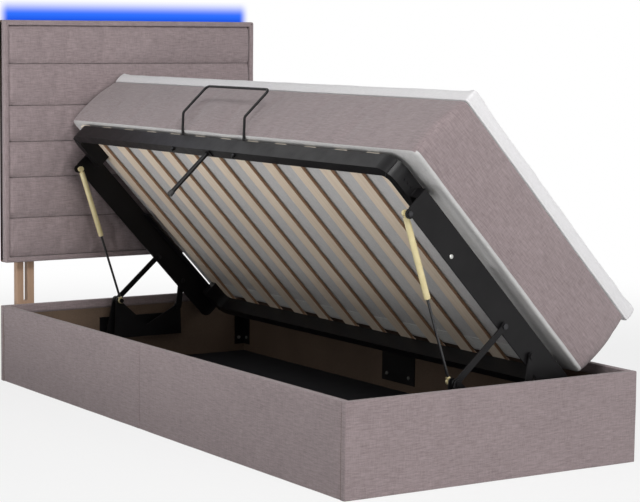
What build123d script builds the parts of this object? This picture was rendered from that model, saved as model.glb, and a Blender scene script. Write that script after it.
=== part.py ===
"""Single storage bed whose mattress frame lifts sideways on a pair of four-bar lifts with gas struts.

Millimetres. X runs from the opening side (-X) to the hinge side (+X), Y from the foot (-Y) to the
head (+Y) and Z up from the floor. The bed is drawn with its lid open, as it stands when in use.
"""
from build123d import *
import math
import os

os.makedirs("parts", exist_ok=True)

# Driving sizes of the storage box.
bed_length = 2100
bed_width = 990
box_height = 260
wall_thickness = 22
wall_board_thickness = 16
wall_cover_top = 6
wall_fold_height = 30
wall_fold_thickness = 2
wall_edge_radius = 5
side_split_y = 57

# Driving sizes of the lid: where the lower hinge-side edge of the mattress lies when the lid is
# open and when it is shut, and how far the lid turns between the two.
open_angle = 47.09
open_edge_x = 356.8
open_edge_z = 234.7
shut_edge_x = 436
shut_edge_z = 280
mattress_end_gap = 50
mattress_width = 900
mattress_length = bed_length - 2 * mattress_end_gap
mattress_thickness = 214
topper_end_inset = 5
topper_width = 865
topper_length = mattress_length - 2 * topper_end_inset
topper_thickness = 45

# Small clearances that pieces share.
rest_gap = 0.3
cut_over = 2
screw_gap = 0.2

half_length = bed_length / 2
half_width = bed_width / 2
wall_face_x = half_width - wall_thickness
wall_face_y = half_length - wall_thickness
ends = (("head", 1), ("foot", -1))


def block(x_band, y_band, z_band):
    """A plain block between the given limits, whichever way round each pair is written."""
    sizes = [abs(band[1] - band[0]) for band in (x_band, y_band, z_band)]
    middle = [(band[0] + band[1]) / 2 for band in (x_band, y_band, z_band)]
    return Pos(*middle) * Box(*sizes)


def plate(face, y_from, y_to):
    """A flat outline drawn in X and Z, as thick as the band between two Y values."""
    sheet = Plane.XZ * face
    return Pos(0, max(y_from, y_to), 0) * extrude(sheet, amount=abs(y_to - y_from))


def pin(x, z, radius, y_from, y_to):
    """A round pin that lies along Y."""
    return plate(Pos(x, z) * Circle(radius), y_from, y_to)


def upright_pin(x, y, radius, z_from, z_to):
    """A round pin that stands along Z."""
    return Pos(x, y, min(z_from, z_to)) * extrude(Circle(radius), amount=abs(z_to - z_from))


def side_pin(y, z, radius, x_from, x_to):
    """A round pin that lies along X."""
    disc = Plane.YZ * (Pos(y, z) * Circle(radius))
    return Pos(min(x_from, x_to), 0, 0) * extrude(disc, amount=abs(x_to - x_from))


def link_outline(p, q, end_radius, bore):
    """A flat link with round ends about two points, each bored for its pin."""
    dx, dz = q[0] - p[0], q[1] - p[1]
    reach = math.hypot(dx, dz)
    body = Rot(0, 0, math.degrees(math.atan2(dz, dx))) * SlotCenterToCenter(reach, 2 * end_radius)
    body = Pos((p[0] + q[0]) / 2, (p[1] + q[1]) / 2) * body
    return body - Pos(*p) * Circle(bore) - Pos(*q) * Circle(bore)


def save(name, *pieces):
    """Writes one node, which may be several separate solids."""
    solids = [solid for piece in pieces for solid in piece.solids()]
    shape = solids[0] if len(solids) == 1 else Compound(children=solids)
    export_step(shape, os.path.join("parts", name + ".step"))


# The walls of the box: a chipboard board inside a foam-backed fabric cover that goes over the top
# and is folded down a little way inside.
def wall_parts(length):
    """Cover and board of one wall, along X from 0 to length, its outer face at Y = 0."""
    outer = block((0, length), (0, wall_thickness), (0, box_height))
    outer = fillet(outer.edges().filter_by(Axis.X).sort_by(Axis.Z)[-2:], wall_edge_radius)
    cover_depth = wall_thickness - wall_board_thickness
    board_top = box_height - wall_cover_top
    fold = block(
        (0, length),
        (wall_thickness - wall_fold_thickness, wall_thickness),
        (box_height - wall_fold_height, board_top),
    )
    board = block((0, length), (cover_depth, wall_thickness), (0, board_top)) - fold
    past = length + cut_over
    inside = block((-cut_over, past), (cover_depth, wall_thickness + cut_over), (-cut_over, board_top))
    cover = outer - inside + fold
    return cover, board


def box_walls():
    """Head and foot walls run the full width; the sides stand between them, each in two halves."""
    places = {
        "head_wall": (bed_width, Pos(half_width, half_length, 0) * Rot(0, 0, 180)),
        "foot_wall": (bed_width, Pos(-half_width, -half_length, 0)),
    }
    for side, sign in (("opening_side", -1), ("hinge_side", 1)):
        for half, y_from, y_to in (
            ("head", side_split_y, wall_face_y),
            ("foot", -wall_face_y, side_split_y),
        ):
            start = y_to if sign < 0 else y_from
            turn = Rot(0, 0, -90) if sign < 0 else Rot(0, 0, 90)
            places[side + "_" + half] = (y_to - y_from, Pos(sign * half_width, start, 0) * turn)
    boards = []
    for name, (length, place) in places.items():
        cover, board = wall_parts(length)
        save(name + "_cover", place * cover)
        boards.append((name, place * board))
    save("head_wall_board", boards[0][1])
    save("foot_wall_board", boards[1][1])
    save("opening_side_boards", *[board for name, board in boards if name.startswith("opening")])
    save("hinge_side_boards", *[board for name, board in boards if name.startswith("hinge")])


# Steel angles bolted into the four inner corners, and a plate across the joint of each side.
corner_leg = 40
corner_steel = 2.5
corner_low = 60
corner_high = 200
corner_bolt_radius = 6
corner_bolt_height = 3
corner_bolt_inset = 24
joint_plate_length = 180
joint_plate_bolt_pitch = 60


def corner_brackets():
    angles, bolts = [], []
    for sx in (-1, 1):
        for sy in (-1, 1):
            x, y = sx * wall_face_x, sy * wall_face_y
            along = block((x, x - sx * corner_leg), (y, y - sy * corner_steel), (corner_low, corner_high))
            across = block((x, x - sx * corner_steel), (y, y - sy * corner_leg), (corner_low, corner_high))
            angles.append(along + across)
            for z in (corner_low + corner_bolt_inset, corner_high - corner_bolt_inset):
                face_y, face_x = y - sy * corner_steel, x - sx * corner_steel
                x_bolt, y_bolt = x - sx * corner_bolt_inset, y - sy * corner_bolt_inset
                tip_y, tip_x = face_y - sy * corner_bolt_height, face_x - sx * corner_bolt_height
                bolts.append(pin(x_bolt, z, corner_bolt_radius, face_y, tip_y))
                bolts.append(side_pin(y_bolt, z, corner_bolt_radius, face_x, tip_x))
    save("corner_brackets", *angles)
    save("corner_bolts", *bolts)


def side_joint_plates():
    plates, bolts = [], []
    for sx in (-1, 1):
        x = sx * wall_face_x
        inner = x - sx * corner_steel
        y_band = (side_split_y - joint_plate_length / 2, side_split_y + joint_plate_length / 2)
        plates.append(block((x, inner), y_band, (corner_low, corner_high)))
        for step in (-1, 1):
            for z in (corner_low + corner_bolt_inset, corner_high - corner_bolt_inset):
                y = side_split_y + step * joint_plate_bolt_pitch
                bolts.append(side_pin(y, z, corner_bolt_radius, inner, inner - sx * corner_bolt_height))
    save("side_joint_plates", *plates)
    save("side_joint_bolts", *bolts)


# The storage floor: battens on the room's floor, two thin boards and a black non-woven sheet.
batten_height = 28
batten_width = 60
batten_count = 3
floor_board_thickness = 5
floor_cloth_thickness = 1.5
floor_play = 1.5
floor_board_joint = 2


def storage_floor():
    board_x = wall_face_x - floor_play
    board_y = wall_face_y - floor_play
    board_top = batten_height + floor_board_thickness
    spine_y = (-wall_face_y, wall_face_y)
    spine = block((-batten_width / 2, batten_width / 2), spine_y, (0, batten_height))
    save("floor_spine_batten", spine)
    cross = []
    pitch = (2 * wall_face_y - batten_width) / (batten_count - 1)
    for number in range(batten_count):
        y = -wall_face_y + batten_width / 2 + number * pitch
        for sx in (-1, 1):
            cross.append(
                block(
                    (sx * batten_width / 2, sx * wall_face_x),
                    (y - batten_width / 2, y + batten_width / 2),
                    (0, batten_height),
                )
            )
    save("floor_cross_battens", *cross)
    for name, y_band in (
        ("floor_board_head", (floor_board_joint / 2, board_y)),
        ("floor_board_foot", (-board_y, -floor_board_joint / 2)),
    ):
        save(name, block((-board_x, board_x), y_band, (batten_height, board_top)))
    cloth_band = (board_top, board_top + floor_cloth_thickness)
    save("floor_cloth", block((-board_x, board_x), (-board_y, board_y), cloth_band))


# The headboard: a board with six padded channels sewn inside a wrapped border, on two slotted legs.
headboard_low = 410
headboard_high = 1235
headboard_board_thickness = 18
headboard_border = 17
headboard_border_depth = 40
border_radius = 6
channel_depth = 21
channel_gap = 0.4
channel_height_shares = (0.165, 0.180, 0.156, 0.154, 0.176, 0.169)
channel_end_draw = 7
channel_end_run = 30
channel_edge_depth = 3
channel_edge_draw = 2
back_face_y = half_length
board_front_y = back_face_y - headboard_board_thickness


def headboard_board():
    board = block((-half_width, half_width), (board_front_y, back_face_y), (headboard_low, headboard_high))
    board = fillet(board.edges().filter_by(Axis.Y), border_radius)
    save("headboard_board", board)


def headboard_border_strips():
    """Four wrapped strips round the edge of the board."""
    front = back_face_y - headboard_border_depth
    outer = block((-half_width, half_width), (front, board_front_y), (headboard_low, headboard_high))
    outer = fillet(outer.edges().filter_by(Axis.Y), border_radius)
    outer = fillet(outer.faces().sort_by(Axis.Y)[0].edges(), border_radius)
    inner = block(
        (-half_width + headboard_border, half_width - headboard_border),
        (front - cut_over, board_front_y + cut_over),
        (headboard_low + headboard_border, headboard_high - headboard_border),
    )
    save("headboard_border", outer - inner)


def channel_section(x, low, high, depth, draw):
    """Closed D-shaped section at one place along a channel: flat back, one crowned arc in front."""
    back = board_front_y
    edge = back - channel_edge_depth
    front = back - depth
    top, bottom = high - draw, low + draw
    with BuildLine() as outline:
        Line((x, back, bottom), (x, back, top))
        Line((x, back, top), (x, edge, top))
        ThreePointArc((x, edge, top), (x, front, (top + bottom) / 2), (x, edge, bottom))
        Line((x, edge, bottom), (x, back, bottom))
    return make_face(outline.edges())


def headboard_channels():
    reach = half_width - headboard_border - channel_gap
    clear_low = headboard_low + headboard_border + channel_gap
    clear_high = headboard_high - headboard_border - channel_gap
    top = clear_high
    for number, share in enumerate(channel_height_shares, start=1):
        height = share * (clear_high - clear_low)
        high, low = top - channel_gap / 2, top - height + channel_gap / 2
        sections = [
            (-reach, channel_depth - channel_end_draw, channel_edge_draw),
            (-reach + channel_end_run, channel_depth, 0),
            (reach - channel_end_run, channel_depth, 0),
            (reach, channel_depth - channel_end_draw, channel_edge_draw),
        ]
        pad = loft([channel_section(x, low, high, depth, draw) for x, depth, draw in sections], ruled=True)
        save("headboard_channel_" + str(number), pad)
        top -= height


leg_width = 67
leg_thickness = 24
leg_edge_inset = 94
leg_centre_x = half_width - leg_edge_inset
leg_high = 860
leg_slot_width = 15
leg_slot_low = 268
leg_slot_high = 620
leg_edge_radius = 3
leg_bolt_heights = (90, 205)
leg_bolt_radius = 4
leg_washer_radius = 11
leg_washer_height = 2
leg_head_radius = 6.5
leg_head_height = 5
leg_slot_bolt_rise = 240


def leg_bolt(x, z, shank_radius):
    """One bolt from behind the leg: shank, washer and hexagon head."""
    outer = back_face_y + leg_thickness
    washer_top = outer + leg_washer_height
    head = plate(Pos(x, z) * RegularPolygon(leg_head_radius, 6), washer_top, washer_top + leg_head_height)
    washer = pin(x, z, leg_washer_radius, outer, washer_top)
    return pin(x, z, shank_radius, back_face_y, washer_top) + washer + head


def headboard_legs():
    """Slotted wooden legs behind the box and the headboard, bolted to both."""
    bolts = []
    for side, sx in (("opening_side", -1), ("hinge_side", 1)):
        x = sx * leg_centre_x
        leg = block(
            (x - leg_width / 2, x + leg_width / 2),
            (back_face_y, back_face_y + leg_thickness),
            (0, leg_high),
        )
        leg = fillet(leg.edges().filter_by(Axis.Z), leg_edge_radius)
        slot_length = leg_slot_high - leg_slot_low - leg_slot_width
        slot = Rot(0, 0, 90) * SlotCenterToCenter(slot_length, leg_slot_width)
        slot = Pos(x, (leg_slot_low + leg_slot_high) / 2) * slot
        leg -= plate(slot, back_face_y - cut_over, back_face_y + leg_thickness + cut_over)
        for z in leg_bolt_heights:
            past = back_face_y + leg_thickness + cut_over
            leg -= pin(x, z, leg_bolt_radius + screw_gap, back_face_y - cut_over, past)
            bolts.append(leg_bolt(x, z, leg_bolt_radius))
        bolts.append(leg_bolt(x, leg_slot_low + leg_slot_bolt_rise, leg_bolt_radius - screw_gap))
        save("headboard_leg_" + side, leg)
    save("headboard_leg_bolts", *bolts)


# The light strip in a slim channel along the top back edge of the headboard.
light_channel_height = 12
light_channel_depth = 10
light_channel_wall = 1.2
light_inset = 20
light_drop = 3
light_strip_lip = 1


def headboard_light():
    reach = half_width - light_inset
    high = headboard_high - light_drop
    low = high - light_channel_height
    front, back = back_face_y, back_face_y + light_channel_depth
    channel = block((-reach, reach), (front, back), (low, high))
    hollow = block(
        (-reach - cut_over, reach + cut_over),
        (front + light_channel_wall, back - light_channel_wall),
        (low + light_channel_wall, high + cut_over),
    )
    save("light_channel", channel - hollow)
    strip = block(
        (-reach, reach),
        (front + light_channel_wall, back - light_channel_wall),
        (low + light_channel_wall, high + light_strip_lip),
    )
    save("light_strip", strip)


# The lid is drawn flat, with its hinge-side edge at X = 0 and its free edge towards -X, its slats
# ending at Z = 0 below the mattress. lid_place then lifts it to where it stands open.
lid_place = Pos(open_edge_x, 0, open_edge_z) * Rot(0, open_angle, 0)
open_turn = math.radians(open_angle)


def open_point(across, up):
    """X and Z, with the lid open, of a point of the lid given by its distance from the hinge edge."""
    x = open_edge_x - across * math.cos(open_turn) + up * math.sin(open_turn)
    z = open_edge_z + across * math.sin(open_turn) + up * math.cos(open_turn)
    return x, z


def shut_point(across, up):
    """X and Z of the same point with the lid shut."""
    return shut_edge_x - across, shut_edge_z + up


# Layers of the lift at each end, from the wall inwards.
outer_ear_setback = 43
ear_thickness = 4
arm_play = 5
arm_thickness = 5
plate_play = 5
end_plate_thickness = 4
inner_ear_play = 4
strut_play = 2
strut_tube_radius = 9
rail_play = 4

outer_ear_outer = wall_face_y - outer_ear_setback
outer_ear_inner = outer_ear_outer - ear_thickness
arm_outer = outer_ear_inner - arm_play
arm_inner = arm_outer - arm_thickness
plate_outer = arm_inner - plate_play
plate_inner = plate_outer - end_plate_thickness
inner_ear_outer = plate_inner - inner_ear_play
inner_ear_inner = inner_ear_outer - ear_thickness
strut_centre = inner_ear_inner - strut_play - strut_tube_radius
rail_face = strut_centre - strut_tube_radius - rail_play

# Pivots. The long arm and the strut turn about one line on the base; where the arm and the short
# link meet the lid follows from both ends of the travel.
base_pivot_x = -85
base_pivot_z = 263
base_pivot = (base_pivot_x, base_pivot_z)
arm_pivot_across = 315
link_pivot_across = 183
link_pivot_up = -78
link_base_z = 225
strut_pivot_across = 768
strut_pivot_up = -102


def arm_pivot_rise():
    """How far below the slats the arm's lid pivot lies, so that the arm is equally long open and shut."""
    ax, az = open_point(arm_pivot_across, 0)
    bx, bz = shut_point(arm_pivot_across, 0)
    open_x, open_z = ax - base_pivot[0], az - base_pivot[1]
    shut_x, shut_z = bx - base_pivot[0], bz - base_pivot[1]
    lean = open_x * math.sin(open_turn) + open_z * math.cos(open_turn) - shut_z
    return (shut_x**2 + shut_z**2 - open_x**2 - open_z**2) / (2 * lean)


def link_base_pivot():
    """The short link's base pivot, at its height, equally far from its lid pivot open and shut."""
    ax, az = open_point(link_pivot_across, link_pivot_up)
    bx, bz = shut_point(link_pivot_across, link_pivot_up)
    mid_x, mid_z = (ax + bx) / 2, (az + bz) / 2
    return mid_x + (mid_z - link_base_z) * (bz - az) / (bx - ax), link_base_z


arm_pivot_up = arm_pivot_rise()
arm_top = open_point(arm_pivot_across, arm_pivot_up)
link_base = link_base_pivot()
link_top = open_point(link_pivot_across, link_pivot_up)
strut_top = open_point(strut_pivot_across, strut_pivot_up)
strut_open = math.dist(base_pivot, strut_top)
strut_shut = math.dist(base_pivot, shut_point(strut_pivot_across, strut_pivot_up))

pivot_radius = 4
pivot_play = 0.25
pivot_head_radius = 8
pivot_head_height = 3
ear_lug_radius = 12
bracket_low_x = -125
bracket_high_x = 180
bracket_web_z = 128
bracket_flange_z = 196
bracket_steel = 4
bracket_dip_z = 165
bracket_bolt_z = 165
bracket_bolt_inset = 35
bracket_bolt_radius = 8
bracket_bolt_height = 5
inner_ear_half = 20


def outer_ear_outline():
    """The tall plate that carries the long arm at one end and the short link at the other."""
    bx, bz = base_pivot
    lx, lz = link_base
    web = bracket_web_z - bracket_steel
    body = Polyline(
        (bracket_low_x, web),
        (bracket_high_x, web),
        (lx + ear_lug_radius, lz),
        (lx - ear_lug_radius, lz),
        ((bx + lx) / 2, bracket_dip_z),
        (bx + ear_lug_radius, bz),
        (bx - ear_lug_radius, bz),
        close=True,
    )
    outline = make_face(body)
    for point in (base_pivot, link_base):
        outline += Pos(*point) * Circle(ear_lug_radius)
        outline -= Pos(*point) * Circle(pivot_radius + screw_gap)
    return outline


def inner_ear_outline():
    """The narrow ear that carries the lower eye of the strut."""
    bx, bz = base_pivot
    web = bracket_web_z - bracket_steel
    body = Polyline(
        (bx - inner_ear_half, web),
        (bx + inner_ear_half, web),
        (bx + ear_lug_radius, bz),
        (bx - ear_lug_radius, bz),
        close=True,
    )
    outline = make_face(body) + Pos(bx, bz) * Circle(ear_lug_radius)
    return outline - Pos(bx, bz) * Circle(pivot_radius + screw_gap)


def base_brackets():
    """A steel tray bolted to each end wall, with one ear outside the lid's end plate and one inside."""
    for end, sy in ends:
        x_band = (bracket_low_x, bracket_high_x)
        web_low = bracket_web_z - bracket_steel
        tray = block(x_band, (sy * outer_ear_inner, sy * wall_face_y), (web_low, bracket_web_z))
        flange_y = (sy * (wall_face_y - bracket_steel), sy * wall_face_y)
        tray += block(x_band, flange_y, (web_low, bracket_flange_z))
        bridge_x = (base_pivot[0] - inner_ear_half, base_pivot[0] + inner_ear_half)
        tray += block(bridge_x, (sy * inner_ear_inner, sy * outer_ear_outer), (web_low, bracket_web_z))
        tray += plate(outer_ear_outline(), sy * outer_ear_inner, sy * outer_ear_outer)
        tray += plate(inner_ear_outline(), sy * inner_ear_inner, sy * inner_ear_outer)
        save("lift_bracket_" + end, tray)


def bracket_fasteners():
    """Domed bolts that hold the brackets to the walls, and the fixed pivots with their heads."""
    bolts, pivots = [], []
    for end, sy in ends:
        inner = wall_face_y - bracket_steel
        bolt_tip = inner - bracket_bolt_height
        low_x, high_x = bracket_low_x + bracket_bolt_inset, bracket_high_x - bracket_bolt_inset
        for x in (low_x, (low_x + high_x) / 2, high_x):
            bolts.append(pin(x, bracket_bolt_z, bracket_bolt_radius, sy * inner, sy * bolt_tip))
        for point in (base_pivot, link_base):
            back = outer_ear_outer + pivot_head_height
            tip = arm_inner - pivot_play
            stem = pin(*point, pivot_radius, sy * back, sy * (tip - pivot_head_height))
            outer_head = pin(*point, pivot_head_radius, sy * outer_ear_outer, sy * back)
            inner_head = pin(*point, pivot_head_radius, sy * tip, sy * (tip - pivot_head_height))
            pivots.append(stem + outer_head + inner_head)
        tip = strut_centre - strut_eye_half - pivot_play
        stem = pin(*base_pivot, pivot_radius, sy * inner_ear_outer, sy * (tip - pivot_head_height))
        inner_head = pin(*base_pivot, pivot_head_radius, sy * tip, sy * (tip - pivot_head_height))
        pivots.append(stem + inner_head)
    save("bracket_bolts", *bolts)
    save("base_pivots", *pivots)


# The long arms and the short links, flat steel with round ends.
arm_half_width = 9
arm_end_radius = 12
link_half_width = 11


def lift_arms():
    for end, sy in ends:
        outline = link_outline(base_pivot, arm_top, arm_half_width, pivot_radius + pivot_play)
        for point in (base_pivot, arm_top):
            outline += Pos(*point) * Circle(arm_end_radius)
            outline -= Pos(*point) * Circle(pivot_radius + pivot_play)
        save("lift_arm_" + end, plate(outline, sy * arm_inner, sy * arm_outer))


def rear_links():
    """The short links turn on the base; at the lid each has a rivet head that stops short of the plate."""
    for end, sy in ends:
        outline = link_outline(link_base, link_top, link_half_width, pivot_radius + pivot_play)
        bar = plate(outline, sy * arm_inner, sy * arm_outer)
        rivet = pin(*link_top, pivot_radius + pivot_play, sy * arm_inner, sy * arm_outer)
        rivet += pin(*link_top, pivot_head_radius, sy * arm_outer, sy * (arm_outer + pivot_head_height))
        save("rear_link_" + end, bar + rivet)


# Gas struts: a thin black rod that turns on the base, and a pale tube that hangs from the lid.
# Shut, the tube almost reaches the rod's eye, and open the rod's end is just inside the tube.
strut_rod_radius = 4
strut_eye_radius = 9.5
strut_eye_half = 4
strut_tube_wall = 2
strut_tube_round = 2.5
strut_rod_gap = 0.4
strut_tail = 10
strut_base_gap = 14
strut_neck_radius = 5
strut_stud_gap = 1.1
strut_end_play = 1
strut_collar_start = 9.2
strut_collar_end = 13.5
strut_collar_radius = 6.5
strut_tube_length = strut_shut - strut_tail - strut_base_gap
strut_rod_top = strut_shut - strut_tail - strut_tube_wall - strut_end_play

strut_dir = ((strut_top[0] - base_pivot[0]) / strut_open, (strut_top[1] - base_pivot[1]) / strut_open)


def strut_frame(sy, along):
    """Plane square to the strut, a distance up it from the base pivot."""
    x = base_pivot[0] + along * strut_dir[0]
    z = base_pivot[1] + along * strut_dir[1]
    origin = (x, sy * strut_centre, z)
    return Plane(origin=origin, x_dir=(0, 1, 0), z_dir=(strut_dir[0], 0, strut_dir[1]))


def along_strut(sy, start, end, radius):
    return extrude(strut_frame(sy, start) * Circle(radius), amount=end - start)


def gas_struts():
    tube_high = strut_open - strut_tail
    tube_low = tube_high - strut_tube_length
    for end, sy in ends:
        eye_band = (sy * (strut_centre - strut_eye_half), sy * (strut_centre + strut_eye_half))
        rod = pin(*base_pivot, strut_eye_radius, *eye_band)
        rod += along_strut(sy, strut_collar_start, strut_collar_end, strut_collar_radius)
        rod += along_strut(sy, strut_collar_start, strut_rod_top, strut_rod_radius)
        save("strut_rod_" + end, rod - pin(*base_pivot, pivot_radius + pivot_play, *eye_band))
        tube = along_strut(sy, tube_low, tube_high, strut_tube_radius)
        tube = fillet(tube.edges(), strut_tube_round)
        neck_end = strut_open - strut_eye_half
        tube += along_strut(sy, tube_high - strut_tube_round, neck_end, strut_neck_radius)
        tube += pin(*strut_top, strut_eye_radius, *eye_band)
        tube += pin(*strut_top, pivot_radius, sy * strut_centre, sy * (plate_inner - strut_stud_gap))
        bore_top = tube_high - strut_tube_wall
        tube -= along_strut(sy, tube_low - cut_over, bore_top, strut_rod_radius + strut_rod_gap)
        save("strut_tube_" + end, tube)


# The lid's frame: a rectangular tube down each long side. At every corner it is mitred and welded to
# a short return, which carries the end plate and is capped where it stops.
rail_width = 30
rail_height = 50
rail_wall = 2
rail_corner_radius = 55
slat_thickness = 10
lid_free_face = 890
lid_hinge_face = 5
rail_top = -slat_thickness
rail_bottom = rail_top - rail_height
free_return_end = 740
hinge_return_end = 110


def frame_ring(grow, z_band):
    """The frame's plan as a ring, its wall drawn in by grow on both sides, over a band of heights."""
    length = 2 * rail_face - 2 * grow
    width = lid_free_face - lid_hinge_face - 2 * grow
    radius = rail_corner_radius - grow
    bar = rail_width - 2 * grow
    middle = -(lid_free_face + lid_hinge_face) / 2
    outer = RectangleRounded(width, length, radius)
    inner = RectangleRounded(width - 2 * bar, length - 2 * bar, radius - bar)
    return Pos(middle, 0, min(z_band)) * extrude(outer - inner, amount=abs(z_band[1] - z_band[0]))


def end_opening(grow):
    """The space between the returns of one end and the other, over the frame's whole length."""
    x_band = (-free_return_end - grow, -hinge_return_end + grow)
    y_band = (-rail_face - cut_over, rail_face + cut_over)
    return block(x_band, y_band, (rail_bottom - cut_over, rail_top + cut_over))


rail_mitre_reach = 2 * rail_corner_radius


def mitre_wedge(corners):
    """A prism over four plan points, tall enough to cut one rail out of the ring."""
    outline = make_face(Polyline(*corners, close=True))
    return Pos(0, 0, rail_bottom - cut_over) * extrude(outline, amount=rail_height + 2 * cut_over)


def lid_rails():
    hollow = frame_ring(rail_wall, (rail_bottom + rail_wall, rail_top - rail_wall))
    ring = frame_ring(0, (rail_bottom, rail_top)) - (hollow - end_opening(rail_wall)) - end_opening(0)
    free, hinge, end = -lid_free_face, -lid_hinge_face, rail_face
    over, deep = cut_over, rail_mitre_reach
    rails = {}
    for name, face, out in (("lid_free_rail", free, -1), ("lid_hinge_rail", hinge, 1)):
        outer, inner = face + out * over, face - out * deep
        corners = [(outer, end + over), (outer, -end - over), (inner, deep - end), (inner, end - deep)]
        rails[name] = ring & mitre_wedge(corners)
    for name, sy in (("lid_head_rail", 1), ("lid_foot_rail", -1)):
        outer, inner = sy * (end + over), sy * (end - deep)
        corners = [(free - over, outer), (hinge + over, outer), (hinge - deep, inner), (free + deep, inner)]
        rails[name] = ring & mitre_wedge(corners)
    rod = retainer_rod(retainer_radius + retainer_play)
    rails["lid_free_rail"] -= rod
    for name, rail in rails.items():
        save(name, lid_place * rail)


# The mattress retainer: a bent rod that goes down through the free rail and is nutted below it.
retainer_radius = 4
retainer_play = 0.3
retainer_leg_across = 880
retainer_bar_across = 938
retainer_head_y = 220
retainer_foot_y = -145
retainer_bar_up = 160
retainer_bend_up = -16
retainer_tail = 12
retainer_bend_radius = 16
retainer_nut_radius = 7.5
retainer_nut_height = 6.5


def retainer_rod(radius):
    """The rod's path: up the leg, out at 45 degrees past the mattress, up and across."""
    step = retainer_bar_across - retainer_leg_across
    low = rail_bottom - retainer_tail
    legs = []
    for y in (retainer_head_y, retainer_foot_y):
        legs.append(
            [
                (-retainer_leg_across, y, low),
                (-retainer_leg_across, y, retainer_bend_up),
                (-retainer_bar_across, y, retainer_bend_up + step),
                (-retainer_bar_across, y, retainer_bar_up),
            ]
        )
    path = FilletPolyline(*legs[0], *reversed(legs[1]), radius=retainer_bend_radius)
    return sweep(Plane(origin=path @ 0, z_dir=path % 0) * Circle(radius), path=path)


def mattress_retainer():
    save("mattress_retainer", lid_place * retainer_rod(retainer_radius))
    nuts = []
    for y in (retainer_head_y, retainer_foot_y):
        nut = RegularPolygon(retainer_nut_radius, 6) - Circle(retainer_radius + screw_gap)
        low = rail_bottom - retainer_nut_height
        nuts.append(Pos(-retainer_leg_across, y, low) * extrude(nut, amount=retainer_nut_height))
    save("retainer_nuts", *[lid_place * nut for nut in nuts])


# Twelve beech-ply slats on the frame, tied by a webbing tape near the hinge side.
slat_count = 12
slat_width = 60
slat_head_inset = 34
slat_foot_inset = 132
slat_first_y = rail_face - slat_head_inset
slat_pitch = (2 * rail_face - slat_head_inset - slat_foot_inset) / (slat_count - 1)
slat_hinge_end = 12
slat_free_end = 882
slat_edge_radius = 3
tape_across = 72
tape_width = 50
tape_thickness = 1.2
mattress_base = tape_thickness + rest_gap


def slats():
    pieces = []
    for number in range(slat_count):
        y = slat_first_y - number * slat_pitch
        y_band = (y - slat_width / 2, y + slat_width / 2)
        slat = block((-slat_free_end, -slat_hinge_end), y_band, (rail_top, 0))
        pieces.append(lid_place * fillet(slat.edges().filter_by(Axis.X), slat_edge_radius))
    save("slats", *pieces)
    last_y = slat_first_y - (slat_count - 1) * slat_pitch
    tape = block(
        (-tape_across - tape_width / 2, -tape_across + tape_width / 2),
        (last_y - slat_width / 2, slat_first_y + slat_width / 2),
        (0, tape_thickness),
    )
    save("slat_tape", lid_place * tape)


# The end plates of the lid: a deep steel web between the returns at each end, welded to them by a
# flange and a tab, with a lug for the strut.
end_plate_start = 12
end_plate_finish = 782
end_plate_top = -22
end_plate_low = -104
end_plate_steel = 4
end_plate_lug_radius = 14
end_plate_flange_finish = 470
end_plate_nose_radius = 16
end_plate_heel_radius = 28
end_tab_low = -54
plate_screw_radius = 4.5
plate_screw_height = 2
plate_screw_count = 3
plate_screw_first = 796
plate_screw_pitch = 15
plate_screw_up = -35


def end_plates():
    for end, sy in ends:
        outline = make_face(
            Polyline(
                (-end_plate_start, end_plate_top),
                (-end_plate_finish, end_plate_top),
                (-end_plate_finish, end_plate_low),
                (-end_plate_start, end_plate_low),
                close=True,
            )
        )
        nose = outline.vertices().sort_by(Axis.Y)[:2].sort_by(Axis.X)[0]
        outline = fillet(nose, end_plate_nose_radius)
        heel = outline.vertices().sort_by(Axis.X)[-2:].sort_by(Axis.Y)[0]
        outline = fillet(heel, end_plate_heel_radius)
        outline += Pos(-strut_pivot_across, strut_pivot_up) * Circle(end_plate_lug_radius)
        for across, up in ((arm_pivot_across, arm_pivot_up), (link_pivot_across, link_pivot_up)):
            outline -= Pos(-across, up) * Circle(pivot_radius + screw_gap)
        web = plate(outline, sy * plate_inner, sy * plate_outer)
        flange = block(
            (-end_plate_flange_finish, -end_plate_start),
            (sy * rail_face, sy * plate_outer),
            (end_plate_top - end_plate_steel, end_plate_top),
        )
        tab = block(
            (-end_plate_finish, -end_plate_finish + end_plate_steel),
            (sy * rail_face, sy * plate_outer),
            (end_tab_low, end_plate_top),
        )
        save("lid_end_plate_" + end, lid_place * (web + flange + tab))


def lid_fasteners():
    """Pivot pins of the arms, rivets of the short links, nuts of the struts and the rail screws."""
    pivots, screws = [], []
    for end, sy in ends:
        head_in = sy * (plate_inner - pivot_head_height)
        tip = arm_outer + pivot_play
        x, z = -arm_pivot_across, arm_pivot_up
        stem = pin(x, z, pivot_radius, head_in, sy * (tip + pivot_head_height))
        inner = pin(x, z, pivot_head_radius, head_in, sy * plate_inner)
        outer = pin(x, z, pivot_head_radius, sy * tip, sy * (tip + pivot_head_height))
        pivots.append(stem + inner + outer)
        x, z = -link_pivot_across, link_pivot_up
        stem = pin(x, z, pivot_radius, head_in, sy * plate_outer)
        pivots.append(stem + pin(x, z, pivot_head_radius, head_in, sy * plate_inner))
        nut = Pos(-strut_pivot_across, strut_pivot_up) * RegularPolygon(pivot_head_radius, 6)
        pivots.append(plate(nut, sy * plate_outer, sy * (plate_outer + pivot_head_height)))
        tip = rail_face + plate_screw_height
        for number in range(plate_screw_count):
            across = plate_screw_first + number * plate_screw_pitch
            screws.append(pin(-across, plate_screw_up, plate_screw_radius, sy * rail_face, sy * tip))
    save("lid_pivots", *[lid_place * piece for piece in pivots])
    save("lid_rail_screws", *[lid_place * piece for piece in screws])


# The leg under the middle of the free rail, which stands on the storage floor when the lid is shut.
support_leg_y = 16
support_leg_across = 876
support_leg_radius = 7
support_foot_radius = 9
support_foot_height = 14
support_leg_low = -240
support_plate_half = 12
support_plate_steel = 3


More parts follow.
